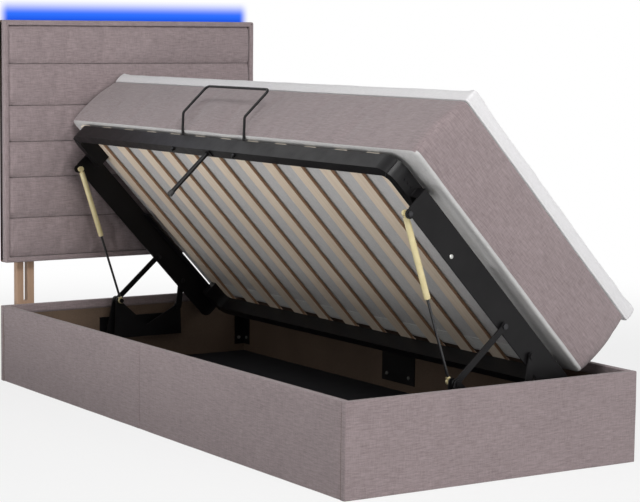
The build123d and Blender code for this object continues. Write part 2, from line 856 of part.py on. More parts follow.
def support_leg():
    foot_top = support_leg_low + support_foot_height
    leg = upright_pin(-support_leg_across, support_leg_y, support_leg_radius, foot_top, rail_bottom)
    x_band = (-support_leg_across - support_plate_half, -support_leg_across + support_plate_half)
    y_band = (support_leg_y - 2 * support_plate_half, support_leg_y + 2 * support_plate_half)
    leg += block(x_band, y_band, (rail_bottom - support_plate_steel, rail_bottom))
    save("support_leg", lid_place * leg)
    foot = upright_pin(-support_leg_across, support_leg_y, support_foot_radius, support_leg_low, foot_top)
    save("support_foot", lid_place * fillet(foot.edges(), support_plate_steel / 2))


# Mattress and topper: soft blocks with rolled edges, barrelled sides and a crowned top.
mattress_corner_radius = 34
mattress_roll = 10
mattress_bulge = 8
mattress_side_lean = 19
mattress_crown = 3
mattress_crown_run = 120
topper_hinge_inset = 15
topper_corner_radius = 24
topper_roll = 9
topper_bulge = 2
topper_crown = 7
topper_crown_run = 260
crown_corner_radius = 12
roll_steps = 4
side_steps = 4
crown_steps = 4


def soft_sections(thickness, roll, bulge, crown, crown_run):
    """Heights from the bottom up, and how far the outline is drawn in at each: a quarter circle at
    the rolled edges, a parabola down the barrelled side and a parabola over the crown."""
    shoulder = thickness - crown
    turns = [math.radians(90 * step / roll_steps) for step in range(roll_steps + 1)]
    rise = [roll * (1 - math.cos(turn)) for turn in turns]
    side = [roll + (shoulder - 2 * roll) * step / side_steps for step in range(1, side_steps)]
    heights = rise + side + [shoulder - height for height in reversed(rise)]
    sections = []
    for height in heights:
        depth = max(roll - height, height - (shoulder - roll), 0)
        barrel = bulge * (2 * height / shoulder - 1) ** 2
        sections.append((height, barrel + roll - math.sqrt(roll**2 - depth**2)))
    for step in range(1, crown_steps + 1):
        share = step / crown_steps
        sections.append((thickness - crown * (1 - share) ** 2, bulge + roll + crown_run * share))
    return sections


def soft_block(width, length, low, corner_radius, sections, side_lean=0):
    """A loft through rounded plan outlines, one for each height and draw. The long sides lean in
    by side_lean from the bottom to the top."""
    top = sections[-1][0]
    outlines = []
    for height, draw in sections:
        radius = max(corner_radius - draw, crown_corner_radius)
        across = width - 2 * (draw + side_lean * height / top)
        outline = RectangleRounded(across, length - 2 * draw, radius)
        outlines.append(Pos(0, 0, low + height) * outline)
    return loft(outlines, ruled=True)


def mattress():
    sections = soft_sections(
        mattress_thickness, mattress_roll, mattress_bulge, mattress_crown, mattress_crown_run
    )
    body = soft_block(
        mattress_width, mattress_length, mattress_base, mattress_corner_radius, sections,
        mattress_side_lean,
    )
    save("mattress", lid_place * Pos(-mattress_width / 2, 0, 0) * body)


def topper():
    low = mattress_base + mattress_thickness + rest_gap
    sections = soft_sections(topper_thickness, topper_roll, topper_bulge, topper_crown, topper_crown_run)
    body = soft_block(topper_width, topper_length, low, topper_corner_radius, sections)
    save("topper", lid_place * Pos(-topper_hinge_inset - topper_width / 2, 0, 0) * body)


def main():
    box_walls()
    corner_brackets()
    side_joint_plates()
    storage_floor()
    headboard_board()
    headboard_border_strips()
    headboard_channels()
    headboard_legs()
    headboard_light()
    base_brackets()
    bracket_fasteners()
    lift_arms()
    rear_links()
    gas_struts()
    lid_rails()
    mattress_retainer()
    slats()
    end_plates()
    lid_fasteners()
    support_leg()
    mattress()
    topper()
    print("arm lid pivot up", round(arm_pivot_up, 2), "link base", [round(v, 2) for v in link_base])
    print("strut open and shut", round(strut_open, 2), round(strut_shut, 2))


main()
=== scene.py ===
import math

import bpy
import numpy as np
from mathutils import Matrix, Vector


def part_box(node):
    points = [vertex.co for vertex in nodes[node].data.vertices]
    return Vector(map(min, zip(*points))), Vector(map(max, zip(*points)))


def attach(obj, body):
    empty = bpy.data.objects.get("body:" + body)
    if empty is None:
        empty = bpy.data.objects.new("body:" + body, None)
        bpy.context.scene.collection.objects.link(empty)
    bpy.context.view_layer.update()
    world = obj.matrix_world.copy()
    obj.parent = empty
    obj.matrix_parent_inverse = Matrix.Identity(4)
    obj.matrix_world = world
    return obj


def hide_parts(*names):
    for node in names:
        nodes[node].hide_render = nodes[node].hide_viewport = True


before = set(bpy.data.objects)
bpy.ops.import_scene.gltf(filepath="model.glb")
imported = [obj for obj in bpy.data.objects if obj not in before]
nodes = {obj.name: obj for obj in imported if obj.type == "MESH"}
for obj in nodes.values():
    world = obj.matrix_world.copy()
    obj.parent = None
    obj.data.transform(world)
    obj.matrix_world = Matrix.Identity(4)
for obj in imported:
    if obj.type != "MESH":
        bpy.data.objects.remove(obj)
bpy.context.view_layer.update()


# Fabric covers of the box walls. Each is a foam-backed linen-look cloth pulled over the top of a
# board, folded down inside the rim and stapled there. It is a rounded block that is open where the
# board shows, with its cut edge turned in.
wall_covers = {
    "head_wall_cover": 0.004,
    "foot_wall_cover": 0.004,
    "opening_side_head_cover": 0.0025,
    "opening_side_foot_cover": 0.0025,
    "hinge_side_head_cover": 0.0025,
    "hinge_side_foot_cover": 0.0025,
}
wall_fold_bottom = 0.230
wall_top_roll = 0.0025
wall_cloth_thickness = 0.0018
wall_wave_height, wall_wave_length = 0.0006, 0.16
wall_end_wrap = 0.0010
linen_dark = (0.150, 0.114, 0.118, 1)
linen_light = (0.400, 0.322, 0.327, 1)
cloth_axis_shift, cloth_side_shift = 0.37, 0.11


def stations(length, fine, coarse, edge):
    """Grid lines over a length centred on 0: fine steps near both ends and coarse ones between."""
    ends = np.linspace(0, edge, max(2, round(edge / fine)) + 1)
    middle = np.linspace(edge, length - edge, max(1, round((length - 2 * edge) / coarse)) + 1)
    return np.unique(np.concatenate([ends, middle, length - ends]).round(7)) - length / 2


def quads(rows, columns, close_rows=False, close_columns=False):
    """Corner numbers of the squares of a grid whose points are numbered row by row."""
    index = np.arange(rows * columns).reshape(rows, columns)
    if close_rows:
        index = np.vstack([index, index[:1]])
    if close_columns:
        index = np.hstack([index, index[:, :1]])
    return np.stack([index[:-1, :-1], index[1:, :-1], index[1:, 1:], index[:-1, 1:]], -1).reshape(-1, 4)


def block_grid(lines):
    """Six grids on a box, joined at its edges, where points within a micrometre become one: points,
    squares, cloth coordinates in metres for each corner of a square, which start elsewhere on each
    face, and the axis (0, 1 or 2) that each square faces along."""
    points, squares, cloth, facing, count = [], [], [], [], 0
    for axis in range(3):
        first, second = (axis + 1) % 3, (axis + 2) % 3
        for side in (-1, 1):
            a, b = np.meshgrid(lines[first], lines[second], indexing="ij")
            face = np.zeros(a.shape + (3,))
            face[..., axis] = lines[axis][-1] * side
            face[..., first], face[..., second] = a, b
            flat = np.stack([b, a] if axis == 1 else [a, b], -1).reshape(-1, 2)
            flat = flat + cloth_axis_shift * axis + cloth_side_shift * side
            square = quads(*a.shape)
            square = square if side > 0 else square[:, ::-1]
            points.append(face.reshape(-1, 3))
            squares.append(square + count)
            cloth.append(flat[square])
            facing.append(np.full(len(square), axis))
            count += a.size
    points = np.concatenate(points)
    places = (points * 1e6).round().astype(np.int64)
    _, first_seen, merged = np.unique(places, axis=0, return_index=True, return_inverse=True)
    squares = merged.reshape(-1)[np.concatenate(squares)]
    return points[first_seen], squares, np.concatenate(cloth), np.concatenate(facing)


def rounded(points, half, plan_radius, roll):
    """Draws a box's points in so that its upright edges follow a circle of plan_radius and its top
    and bottom edges a circle of roll. In each corner square the distance from the core is the larger
    of the two offsets, which turns squares into quarter circles."""
    half = np.asarray(half)
    core = np.clip(points[:, :2], plan_radius - half[:2], half[:2] - plan_radius)
    out = points[:, :2] - core
    reach = np.abs(out).max(axis=1)
    length = np.maximum(np.hypot(*out.T), 1e-9)
    inset = plan_radius - reach
    level = np.clip(points[:, 2], roll - half[2], half[2] - roll)
    lift, past = points[:, 2] - level, np.maximum(roll - inset, 0)
    ratio = np.maximum(np.abs(lift), past) / np.maximum(np.hypot(lift, past), 1e-9)
    inset = np.where(past > 0, roll - past * ratio, inset)
    plan = core + out / length[:, None] * (plan_radius - inset)[:, None]
    return np.column_stack([plan, level + lift * ratio])


def unevenness(points, wavelength, seed, waves=24):
    """Soft random relief about one unit high: a sum of plane waves of random way and phase, 0.6 to
    1.6 times the wavelength long, over the root of their number."""
    rng = np.random.default_rng(seed)
    ways = rng.normal(size=(waves, 3))
    ways /= np.linalg.norm(ways, axis=1)[:, None] * wavelength * rng.uniform(0.6, 1.6, waves)[:, None]
    phases = rng.uniform(0, 2 * math.pi, waves)
    return np.sin(2 * math.pi * points @ ways.T + phases).sum(axis=1) / math.sqrt(waves)


def surface(name, points, squares, cloth=None, body="base"):
    """A smooth mesh object from numpy arrays that rides on a body, with its cloth coordinates as a UV
    map."""
    mesh = bpy.data.meshes.new(name)
    mesh.from_pydata(np.asarray(points).tolist(), [], np.asarray(squares).tolist())
    if cloth is not None:
        mesh.uv_layers.new(name="cloth").data.foreach_set("uv", np.asarray(cloth, np.float32).ravel())
    mesh.polygons.foreach_set("use_smooth", np.full(len(mesh.polygons), True))
    mesh.update()
    piece = bpy.data.objects.new(name, mesh)
    bpy.context.scene.collection.objects.link(piece)
    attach(piece, body)
    return piece


def shade(tree, kind, *values, output=0, **settings):
    """Adds one shader node. Each value or socket goes to the next input, and None leaves one alone."""
    made = tree.nodes.new("ShaderNode" + kind)
    for key, setting in settings.items():
        setattr(made, key, setting)
    for socket, value in zip(made.inputs, values):
        if isinstance(value, bpy.types.NodeSocket):
            tree.links.new(value, socket)
        elif value is not None:
            socket.default_value = value
    return made.outputs[output]


def blended(tree, factor, a, b):
    """Mixes two colours by a factor."""
    return shade(tree, "Mix", factor, *[None] * 5, a, b, output=2, data_type="RGBA")


def stretched_noise(tree, vector, scale, detail=2.0, roughness=0.5):
    """Noise whose grain is longer along the axes that have the smaller scale."""
    spread = shade(tree, "Mapping", vector, None, None, scale)
    return shade(tree, "TexNoise", spread, None, 1.0, detail, roughness)


def weighted(tree, *terms):
    """0.5 plus the sum of each value's distance from 0.5 times its weight."""
    total = 0.5
    for value, weight in terms:
        term = shade(tree, "Math", value, weight, -0.5 * weight, operation="MULTIPLY_ADD")
        total = shade(tree, "Math", total, term, operation="ADD")
    return total


def plain_material(name, roughness, **sockets):
    """A material with its fixed numbers set on the shader's own sockets."""
    made = bpy.data.materials.new(name)
    made.use_nodes = True
    shader = made.node_tree.nodes["Principled BSDF"]
    shader.inputs["Roughness"].default_value = roughness
    for key, value in sockets.items():
        shader.inputs[key.replace("_", " ")].default_value = value
    return made, made.node_tree, shader


def connect(tree, shader, colour, height, distance, strength, roughness=None):
    """Joins a colour, a relief and, where one is given, a roughness to the shader. Where the relief's
    height is 1, it is distance metres high."""
    tree.links.new(colour, shader.inputs["Base Color"])
    if roughness is not None:
        tree.links.new(roughness, shader.inputs["Roughness"])
    bump = shade(tree, "Bump", strength, distance, None, height)
    tree.links.new(bump, shader.inputs["Normal"])


def effect(name, inputs, outputs):
    """Starts a node group with named inputs and outputs. It gives the group, the sockets that its
    inputs arrive at and the sockets that its outputs leave from."""
    group = bpy.data.node_groups.new(name, "ShaderNodeTree")
    for way, sockets in (("INPUT", inputs), ("OUTPUT", outputs)):
        for label, kind in sockets.items():
            group.interface.new_socket(label, in_out=way, socket_type="NodeSocket" + kind)
    return group, group.nodes.new("NodeGroupInput").outputs, group.nodes.new("NodeGroupOutput").inputs


def use(tree, group, **values):
    """Places a node group in a material with its own values and gives its outputs."""
    made = tree.nodes.new("ShaderNodeGroup")
    made.node_tree = group
    for label, value in values.items():
        if isinstance(value, bpy.types.NodeSocket):
            tree.links.new(value, made.inputs[label])
        else:
            made.inputs[label].default_value = value
    return made.outputs


# Plain weave: crossed threads of one pitch, with long slubs both ways and broad soft bands. It takes
# a place on the cloth in metres, a pitch in metres and the slubs' scale.
weave, start, end = effect(
    "weave", {"Place": "Vector", "Pitch": "Float", "Slub": "Float"}, {"Tone": "Float", "Height": "Float"}
)
parts = weave.nodes.new("ShaderNodeSeparateXYZ")
weave.links.new(start["Place"], parts.inputs[0])
threads, slubs, waves = [], [], []
for axis in (0, 1):
    threads.append(shade(weave, "Math", parts.outputs[axis], start["Pitch"], operation="DIVIDE"))
    slubs.append(shade(weave, "Math", parts.outputs[axis], start["Slub"], operation="MULTIPLY"))
    turned = shade(weave, "Math", threads[axis], 2 * math.pi, operation="MULTIPLY")
    waves.append(shade(weave, "Math", turned, operation="SINE"))
crossed = shade(weave, "Math", waves[0], waves[1], operation="MULTIPLY")
crossed = shade(weave, "Math", crossed, 0.5, 0.5, operation="MULTIPLY_ADD")
along_x = shade(weave, "CombineXYZ", slubs[0], threads[1])
along_y = shade(weave, "CombineXYZ", threads[0], slubs[1])
weft = stretched_noise(weave, along_x, (1, 0.75, 1))
warp = stretched_noise(weave, along_y, (0.75, 1, 1))
wide_weft = stretched_noise(weave, along_x, (0.5, 0.30, 1), 1.0)
wide_warp = stretched_noise(weave, along_y, (0.30, 0.5, 1), 1.0)
bands = stretched_noise(weave, start["Place"], (5, 9, 1), 3.0)
woven_tone = weighted(weave, (crossed, 0.22), (weft, 0.80), (warp, 0.45))
tone = weighted(weave, (woven_tone, 1.0), (wide_weft, 0.45), (wide_warp, 0.20), (bands, 0.25))
height = weighted(weave, (crossed, 0.6), (weft, 0.7), (warp, 0.5))
weave.links.new(tone, end["Tone"])
weave.links.new(height, end["Height"])


def woven(name, pitch, slub, dark, light, distance, sheen):
    """A cloth material that reads the cloth map and runs between two thread colours."""
    made, tree, shader = plain_material(
        name, 0.92, Sheen_Weight=sheen, Sheen_Roughness=0.6, Specular_IOR_Level=0.2
    )
    place = tree.nodes.new("ShaderNodeUVMap")
    place.uv_map = "cloth"
    cloth = use(tree, weave, Place=place.outputs[0], Pitch=pitch, Slub=slub)
    connect(tree, shader, blended(tree, cloth["Tone"], dark, light), cloth["Height"], distance, 0.5)
    return made


linen = woven(
    "taupe_linen", pitch=0.0017, slub=42, dark=linen_dark, light=linen_light, distance=0.0006, sheen=0.25
)

for seed, (node, corner) in enumerate(wall_covers.items()):
    low, high = (np.array(end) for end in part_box(node))
    half, centre = (high - low) / 2, (high + low) / 2
    thin = int(np.argmin(half[:2]))
    if thin == 1:
        half[0] += wall_end_wrap
    lines = [stations(2 * half[axis], fine=corner / 3, coarse=0.03, edge=corner) for axis in range(2)]
    rise = stations(2 * half[2], fine=wall_top_roll / 3, coarse=0.02, edge=wall_top_roll)
    lines.append(np.unique(np.append(rise, wall_fold_bottom - half[2]).round(7)))
    points, squares, cloth, facing = block_grid(lines)
    points = rounded(points, half, corner, wall_top_roll) + centre
    outward = math.copysign(1, centre[thin])
    outer = np.clip((points[:, thin] - centre[thin]) * outward / half[thin], 0, 1)
    waves = unevenness(points, wall_wave_length, seed)
    points[:, thin] += outward * outer * wall_wave_height * waves
    middle = points[squares].mean(axis=1)
    inner = (middle[:, thin] - centre[thin]) * outward < corner - half[thin]
    open_inside = inner & (facing == thin) & (middle[:, 2] < wall_fold_bottom)
    open_below = (facing == 2) & (middle[:, 2] < half[2])
    keep = ~(open_inside | open_below)
    piece = surface(node.replace("_cover", "_linen"), points, squares[keep], cloth[keep])
    piece.data.materials.append(linen)
    shell = piece.modifiers.new("cloth", "SOLIDIFY")
    shell.thickness, shell.offset = wall_cloth_thickness, -1
    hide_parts(node)


# Boards inside the walls: brown hard-pressed particle board, sawn square, bare inside the box.
board_dark = (0.055, 0.036, 0.024, 1)
board_light = (0.190, 0.125, 0.083, 1)


def dress(material, *names):
    """Gives CAD nodes a material in place of their plain one."""
    for name in names:
        for slot in nodes[name].material_slots:
            slot.material = material


def object_place(tree, shift=(0, 0, 0)):
    """Object coordinates, moved by a shift."""
    place = tree.nodes.new("ShaderNodeTexCoord").outputs["Object"]
    return shade(tree, "Mapping", place, shift)


def pressed_board(name, dark, light):
    """Particle board: fine flakes in two sizes over slow changes of tone."""
    made, tree, shader = plain_material(name, 0.75)
    place = object_place(tree)
    flakes = shade(tree, "TexVoronoi", place, None, 420.0)
    fine = shade(tree, "TexNoise", place, None, 900.0, 2.0)
    slow = shade(tree, "TexNoise", place, None, 6.0, 3.0)
    tone = weighted(tree, (flakes, 0.5), (fine, 0.9), (slow, 0.6))
    connect(tree, shader, blended(tree, tone, dark, light), tone, 0.0002, 0.4)
    return made


board_brown = pressed_board("brown_board", board_dark, board_light)
dress(board_brown, "head_wall_board", "foot_wall_board", "opening_side_boards", "hinge_side_boards")


# Bolts, pivots and nuts: turned and pressed steel. Those of the corners, the side joints and the
# headboard legs are zinc plated, and those of the lift and the lid are blackened.
zinc_dark = (0.36, 0.36, 0.35, 1)
zinc_light = (0.66, 0.66, 0.63, 1)
black_zinc_dark = (0.018, 0.018, 0.020, 1)
black_zinc_light = (0.085, 0.085, 0.090, 1)

# Plating: small clouds in the tone and the polish, and drawn scratches in the relief.
plating, start, end = effect(
    "plating", {"Place": "Vector"}, {"Tone": "Float", "Roughness": "Float", "Height": "Float"}
)
clouds = shade(plating, "TexNoise", start["Place"], None, 160.0, 4.0)
scratches = stretched_noise(plating, start["Place"], (900, 60, 900))
plating.links.new(clouds, end["Tone"])
plating.links.new(shade(plating, "MapRange", clouds, 0.0, 1.0, 0.26, 0.46), end["Roughness"])
plating.links.new(scratches, end["Height"])


def plated(name, dark, light):
    """Plated steel that runs between two tones."""
    made, tree, shader = plain_material(name, 0.36, Metallic=1.0)
    coat = use(tree, plating, Place=object_place(tree))
    colour = blended(tree, coat["Tone"], dark, light)
    connect(tree, shader, colour, coat["Height"], 0.00008, 0.4, coat["Roughness"])
    return made


zinc = plated("zinc_plate", zinc_dark, zinc_light)
dress(zinc, "corner_bolts", "side_joint_bolts", "headboard_leg_bolts")
blackened = plated("blackened_zinc", black_zinc_dark, black_zinc_light)
dress(blackened, "bracket_bolts", "lid_pivots", "retainer_nuts")


# Corner angles, side joint plates and lift brackets, and later every arm, rail and rod: pressed
# steel with a black satin powder coat, which has a fine orange peel and greyer, duller places where
# it is handled.
powder_dark = (0.0022, 0.0021, 0.0024, 1)
powder_light = (0.0098, 0.0090, 0.0098, 1)
powder, tree, shader = plain_material("black_powder_coat", 0.45, Specular_IOR_Level=0.19)
place = object_place(tree)
peel = shade(tree, "TexNoise", place, None, 700.0, 2.0)
rubbed = shade(tree, "TexNoise", place, None, 14.0, 5.0, 0.65)
roughness = shade(tree, "MapRange", rubbed, 0.3, 0.7, 0.32, 0.50)
connect(tree, shader, blended(tree, rubbed, powder_dark, powder_light), peel, 0.00015, 0.35, roughness)
dress(powder, "corner_brackets", "side_joint_plates", "lift_bracket_head", "lift_bracket_foot")
dress(powder, "base_pivots", "lid_rail_screws")


# Storage floor: sawn pine battens, two thin boards and a black bonded cloth laid over them. The
# cloth is a loose sheet with faint creases and the dimpled bond pattern of such cloth.
floor_cloth_lift, floor_cloth_relief, floor_cloth_waves = 0.0013, 0.0011, 0.0003
cloth_black = (0.004, 0.004, 0.005, 1)
cloth_grey = (0.021, 0.021, 0.025, 1)
pine_dark = (0.34, 0.20, 0.10, 1)
pine_light = (0.62, 0.44, 0.26, 1)


# Timber grain: long noise in growth bands, fine pores along it and slow changes of tone. Grain and
# Pores are the scales of their noise along each axis, the smallest along the timber.
timber_grain, start, end = effect(
    "timber_grain",
    {"Place": "Vector", "Grain": "Vector", "Pores": "Vector"},
    {"Tone": "Float", "Height": "Float"},
)
bands = shade(timber_grain, "VectorMath", start["Place"], start["Grain"], operation="MULTIPLY")
bands = shade(timber_grain, "TexNoise", bands, None, 1.0, 3.0, 0.6)
pores = shade(timber_grain, "VectorMath", start["Place"], start["Pores"], operation="MULTIPLY")
pores = shade(timber_grain, "TexNoise", pores, None, 1.0, 2.0)
slow = shade(timber_grain, "TexNoise", start["Place"], None, 3.0, 2.0)
timber_grain.links.new(weighted(timber_grain, (bands, 1.1), (pores, 0.5), (slow, 0.5)), end["Tone"])
timber_grain.links.new(pores, end["Height"])


def timber(name, dark, light, along, ring=26.0):
    """Timber whose grain runs along one axis, with growth bands of a ring scale."""
    made, tree, shader = plain_material(name, 0.55)
    stretch = np.where(np.arange(3) == along, 1, 0)
    grain = np.where(stretch, ring / 18, ring).tolist()
    pores = np.where(stretch, 14.0, 900.0).tolist()
    wood = use(tree, timber_grain, Place=object_place(tree), Grain=grain, Pores=pores)
    connect(tree, shader, blended(tree, wood["Tone"], dark, light), wood["Height"], 0.0002, 0.3)
    return made


pine_y = timber("sawn_pine_along_y", pine_dark, pine_light, 1)
pine_x = timber("sawn_pine_along_x", pine_dark, pine_light, 0)
dress(pine_y, "floor_spine_batten")
dress(pine_x, "floor_cross_battens")
dress(board_brown, "floor_board_head", "floor_board_foot")

low, high = (np.array(end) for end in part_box("floor_cloth"))
lines_x, lines_y = np.linspace(low[0], high[0], 64), np.linspace(low[1], high[1], 130)
x, y = np.meshgrid(lines_x, lines_y, indexing="ij")
points = np.column_stack([x.ravel(), y.ravel(), np.full(x.size, low[2])])
creases = np.abs(unevenness(points, 0.30, 51)) + 0.5 * np.abs(unevenness(points, 0.11, 52))
waves = unevenness(points, 0.07, 53)
points[:, 2] += floor_cloth_lift + floor_cloth_relief * np.exp(-6 * creases) + floor_cloth_waves * waves
squares = quads(*x.shape)
bonded_cloth, tree, shader = plain_material("bonded_cloth", 0.85, Specular_IOR_Level=0.15)
place = tree.nodes.new("ShaderNodeUVMap")
place.uv_map = "cloth"
dimples = shade(tree, "TexVoronoi", place.outputs[0], None, 480.0, voronoi_dimensions="2D")
fibres = stretched_noise(tree, place.outputs[0], (300, 900, 1), 4.0)
tone = weighted(tree, (dimples, 0.6), (fibres, 0.9))
connect(tree, shader, blended(tree, tone, cloth_black, cloth_grey), tone, 0.0003, 0.5)
piece = surface("storage_floor_cloth", points, squares, points[squares][..., :2])
piece.data.materials.append(bonded_cloth)
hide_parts("floor_cloth")


# Headboard board, its back cloth and the wrapped border. The border strip is padded, runs round the
# board and turns over the back, where it is stapled under a black dust cloth.
board_half_width = 0.495
headboard_low, headboard_high = 0.410, 1.235
board_back, border_front = 1.050, 1.0102
border_width = 0.0172
border_corner = 0.007
border_flap = 0.030
border_crown = 0.0055
border_waves = 0.0006
back_cloth_inset = 0.016


def rounded_loop(half_x, half_z, radius, per_side, per_corner):
    """A closed rounded rectangle about the origin: points, and the outward way at each."""
    centres = [(1, -1), (1, 1), (-1, 1), (-1, -1)]
    points, ways = [], []
    for number, (sx, sz) in enumerate(centres):
        turns = math.pi / 2 * (number - 1) + np.linspace(0, math.pi / 2, per_corner)
        way = np.column_stack([np.cos(turns), np.sin(turns)])
        arc = np.array([sx * (half_x - radius), sz * (half_z - radius)]) + radius * way
        nx, nz = centres[(number + 1) % 4]
        end_way = np.array([math.cos(turns[-1]), math.sin(turns[-1])])
        start = arc[-1]
        finish = np.array([nx * (half_x - radius), nz * (half_z - radius)]) + radius * end_way
        share = np.linspace(0, 1, per_side + 2)[1:-1, None]
        points += [arc, start + (finish - start) * share]
        ways += [way, np.repeat(end_way[None], per_side, axis=0)]
    return np.concatenate(points), np.concatenate(ways)


loop, ways = rounded_loop(board_half_width, (headboard_high - headboard_low) / 2, border_corner, 90, 7)
turn = np.linspace(0, math.pi, 15)
crown = np.column_stack([
    border_width / 2 - border_width / 2 * np.sign(np.cos(turn)) * np.abs(np.cos(turn)) ** 0.7,
    border_front + border_crown - border_crown * np.sin(turn) ** 0.5,
])
flap = [[border_flap, board_back + 0.0006], [border_flap / 2, board_back + 0.0008]]
back_edge = [[0.0025, board_back + 0.0006], [0.0006, board_back - 0.0008]]
outer_side = [[0.0, board_back - 0.004], [0.0, 1.034], [0.0, 1.026]]
inner_side = [[border_width, 1.021], [border_width, 1.031]]
profile = np.concatenate([flap, back_edge, outer_side, crown, inner_side])
inset, depth = profile[:, 0], profile[:, 1]
ring = loop[:, None, :] - ways[:, None, :] * inset[None, :, None]
points = np.empty(ring.shape[:2] + (3,))
points[..., 0], points[..., 1] = ring[..., 0], depth[None, :]
points[..., 2] = ring[..., 1] + (headboard_high + headboard_low) / 2
run = np.cumsum(np.append(0, np.hypot(*np.diff(np.vstack([loop, loop[:1]]), axis=0).T)))
girth = np.cumsum(np.append(0, np.hypot(*np.diff(profile, axis=0).T)))
rows, columns = ring.shape[:2]
squares = quads(rows, columns, close_rows=True)
along, up = np.meshgrid(run, girth, indexing="ij")
wide = quads(rows + 1, columns)
cloth = np.stack([along.ravel()[wide], up.ravel()[wide]], -1)
flat_points = points.reshape(-1, 3)
front_part = np.tile((np.arange(columns) >= len(flap) + len(back_edge))[None], (rows, 1)).ravel()
flat_points[:, 1] -= front_part * border_waves * unevenness(flat_points, 0.06, 61)
piece = surface("headboard_border_linen", flat_points, squares, cloth)
piece.data.materials.append(linen)
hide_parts("headboard_border")
dress(board_brown, "headboard_board")

x, z = np.meshgrid(
    np.linspace(back_cloth_inset - board_half_width, board_half_width - back_cloth_inset, 60),
    np.linspace(headboard_low + back_cloth_inset, headboard_high - back_cloth_inset, 52),
    indexing="ij",
)
points = np.column_stack([x.ravel(), np.full(x.size, board_back + 0.0012), z.ravel()])
points[:, 1] += 0.0003 * unevenness(points, 0.12, 62)
squares = quads(*x.shape)[:, ::-1]
piece = surface("headboard_dust_cloth", points, squares, points[squares][..., ::2])
piece.data.materials.append(bonded_cloth)


# Six padded channels of the headboard: linen over soft foam, sewn down in level seams, so that each
# stands proud between two grooves and puckers a little along them.
channel_rim = 0.0095
channel_end_drop = 0.0045
channel_crown = 0.0205
channel_end_run = 0.012
channel_waves = 0.0006
pucker_height, pucker_reach = 0.0006, 0.012


def swollen(piece, sewn, pressure, slack, cap, frames=18):
    """Fills a closed cover: cloth under inner pressure whose sewn points stay where they are,
    and whose other points move no further than cap."""
    mesh, scene = piece.data, bpy.context.scene
    rest = np.empty(len(mesh.vertices) * 3)
    mesh.vertices.foreach_get("co", rest)
    rest = rest.reshape(-1, 3)
    piece.vertex_groups.new(name="sewn").add(np.flatnonzero(sewn).tolist(), 1.0, "REPLACE")
    cover = piece.modifiers.new("filling", "CLOTH")
    cover.settings.vertex_group_mass = "sewn"
    cover.settings.use_pressure = True
    cover.settings.uniform_pressure_force = pressure
    cover.settings.shrink_min = -slack
    cover.settings.effector_weights.gravity = 0
    cover.settings.quality = 5
    cover.collision_settings.use_collision = False
    for step in range(1, frames + 1):
        scene.frame_set(step)
    shaped = piece.evaluated_get(bpy.context.evaluated_depsgraph_get()).to_mesh()
    moved = np.empty(len(mesh.vertices) * 3)
    shaped.vertices.foreach_get("co", moved)
    change = moved.reshape(-1, 3) - rest
    length = np.linalg.norm(change, axis=1)[:, None]
    change *= np.tanh(length / cap) * cap / np.maximum(length, 1e-9)
    piece.modifiers.remove(cover)
    piece.vertex_groups.clear()
    mesh.vertices.foreach_set("co", (rest + change).ravel())
    mesh.update()
    scene.frame_set(1)


def softened(piece):
    """One step of subdivision, which rounds a padded piece's facets off."""
    soft = piece.modifiers.new("soft", "SUBSURF")
    soft.levels = soft.render_levels = 1


for number in range(1, 7):
    node = "headboard_channel_" + str(number)
    low, high = (np.array(end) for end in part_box(node))
    half, centre = (high - low) / 2, (high + low) / 2
    lines = [
        stations(2 * half[0], fine=0.004, coarse=0.011, edge=0.02),
        np.array([-half[1], half[1]]),
        stations(2 * half[2], fine=0.0022, coarse=0.008, edge=0.014),
    ]
    points, squares, cloth, facing = block_grid(lines)
    front = points[:, 1] < 0
    rise = np.abs(points[:, 2]) / half[2]
    end_share = np.clip((half[0] - np.abs(points[:, 0])) / channel_end_run, 0, 1)
    fall = (1 - rise ** 2.6) ** 0.62
    end_fall = np.sin(end_share * math.pi / 2) ** 0.6
    groove = half[2] * (1 - rise)
    pucker = pucker_height * unevenness(points * [1, 1, 0.25], 0.028, 70 + number)
    pucker *= np.exp(-groove / pucker_reach)
    depth = channel_rim + (channel_crown - channel_rim) * fall - channel_end_drop * (1 - end_fall)
    depth += fall * end_fall * (pucker + channel_waves * unevenness(points, 0.11, 80 + number))
    points[:, 1] = np.where(front, half[1] - depth, half[1])
    piece = surface(node.replace("headboard", "linen"), points + centre, squares, cloth)
    piece.data.materials.append(linen)
    sewn = ~front | (fall * end_fall < 0.02)
    swollen(piece, sewn, pressure=1.2, slack=0.02, cap=0.0025)
    softened(piece)
    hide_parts(node)


# Legs of the headboard: planed hardwood with a long slot, so that the headboard's height can be
# set, held by hexagon bolts and washers from behind.
leg_dark = (0.29, 0.17, 0.105, 1)
leg_light = (0.53, 0.36, 0.25, 1)
leg_timber = timber("leg_timber", leg_dark, leg_light, 2, ring=40.0)
dress(leg_timber, "headboard_leg_opening_side", "headboard_leg_hinge_side")


# Light along the top of the headboard: an aluminium channel with a frosted strip that glows blue.
alloy_dark = (0.55, 0.56, 0.57, 1)
alloy_light = (0.82, 0.83, 0.84, 1)
strip_dark = (0.02, 0.09, 0.9, 1)
strip_light = (0.12, 0.30, 1.0, 1)
alloy, tree, shader = plain_material("drawn_alloy", 0.34, Metallic=1.0)
place = object_place(tree)
lines = stretched_noise(tree, place, (6, 1500, 1500))
colour = blended(tree, lines, alloy_dark, alloy_light)
connect(tree, shader, colour, lines, 0.00005, 0.3)
dress(alloy, "light_channel")
frosted, tree, shader = plain_material("frosted_strip", 0.5, Emission_Strength=2.5)
place = object_place(tree)
spots = stretched_noise(tree, place, (60, 1, 1), 1.0)
glow = blended(tree, spots, strip_dark, strip_light)
tree.links.new(glow, shader.inputs["Emission Color"])
tree.links.new(glow, shader.inputs["Base Color"])
dress(frosted, "light_strip")


